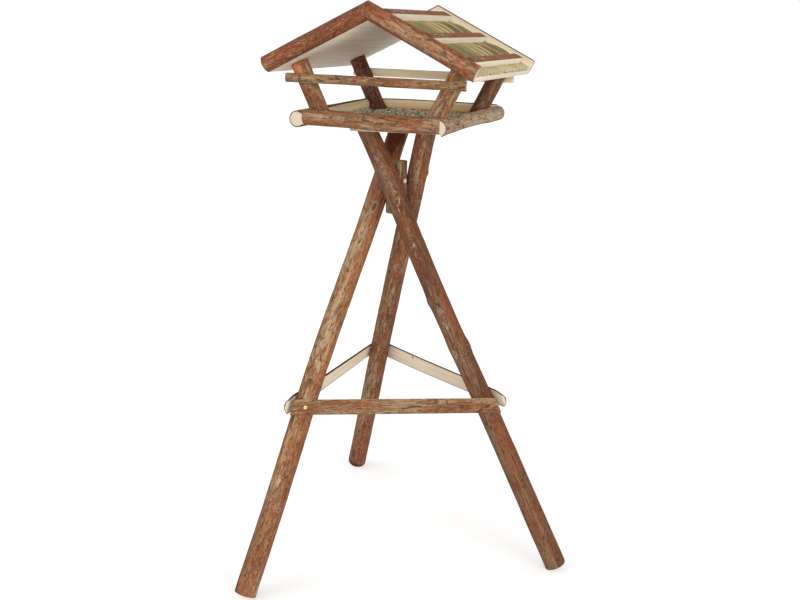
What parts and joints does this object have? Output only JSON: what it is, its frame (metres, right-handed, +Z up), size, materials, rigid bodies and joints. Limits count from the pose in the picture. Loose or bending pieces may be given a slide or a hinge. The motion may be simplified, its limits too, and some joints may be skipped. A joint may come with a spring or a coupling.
{
  "type": "bird table",
  "caption": "Rustic bird table: a pitched reed-thatched roof over an open railed feeding tray, on a braced tripod of crossing bark-covered poles.",
  "frame": {"origin": "on the ground, under the middle of the whole object", "axes": "+Z up, the ridge runs along Y, and the gable seen in front faces -Y"},
  "size_m": [0.6324, 0.6944, 1.1509],
  "materials": {
    "bark": "reddish brown bark with grey-beige patches and long fissures, dull",
    "pale_wood": "sawn or planed untreated pale softwood, dull",
    "reed": "dry olive and straw coloured reed stalks, dull",
    "seed": "grey-green loose seed and husks, dull",
    "screw_steel": "yellow-plated steel wood screws"
  },
  "bodies": {
    "root": {"leg_right": "bark", "leg_back": "bark", "leg_left": "bark", "centre_post": "bark", "brace_front": "bark", "brace_right": "bark", "brace_left": "bark", "mounting_plate": "pale_wood", "base_board": "pale_wood", "rail_left": "bark", "rail_right": "bark", "rail_front": "bark", "rail_back": "bark", "seed_bed": "seed", "post_front_left": "bark", "post_front_right": "bark", "slat_front": "bark", "post_back_left": "bark", "post_back_right": "bark", "slat_back": "bark", "roof_panel_left": "pale_wood", "thatch_left": "reed", "bargeboard_front_left": "bark", "bargeboard_back_left": "bark", "batten_ridge_left": "bark", "batten_middle_left": "bark", "batten_lower_left": "bark", "roof_panel_right": "pale_wood", "thatch_right": "reed", "bargeboard_front_right": "bark", "bargeboard_back_right": "bark", "batten_ridge_right": "bark", "batten_middle_right": "bark", "batten_lower_right": "bark", "crossing_screw_leg_right": "screw_steel", "crossing_screw_leg_back": "screw_steel", "crossing_screw_leg_left": "screw_steel", "brace_front_screw_left": "screw_steel", "brace_front_screw_right": "screw_steel", "brace_right_screw_right": "screw_steel", "brace_right_screw_back": "screw_steel", "brace_left_screw_back": "screw_steel", "brace_left_screw_left": "screw_steel", "leg_top_screw_leg_right": "screw_steel", "leg_top_screw_leg_back": "screw_steel", "leg_top_screw_leg_left": "screw_steel", "plate_screw_1": "screw_steel", "plate_screw_2": "screw_steel", "plate_screw_3": "screw_steel", "plate_screw_4": "screw_steel", "post_front_left_screw": "screw_steel", "post_front_right_screw": "screw_steel", "post_back_left_screw": "screw_steel", "post_back_right_screw": "screw_steel", "slat_pin_front_left": "screw_steel", "slat_pin_front_right": "screw_steel", "slat_pin_back_left": "screw_steel", "slat_pin_back_right": "screw_steel"}
  },
  "joints": []
}
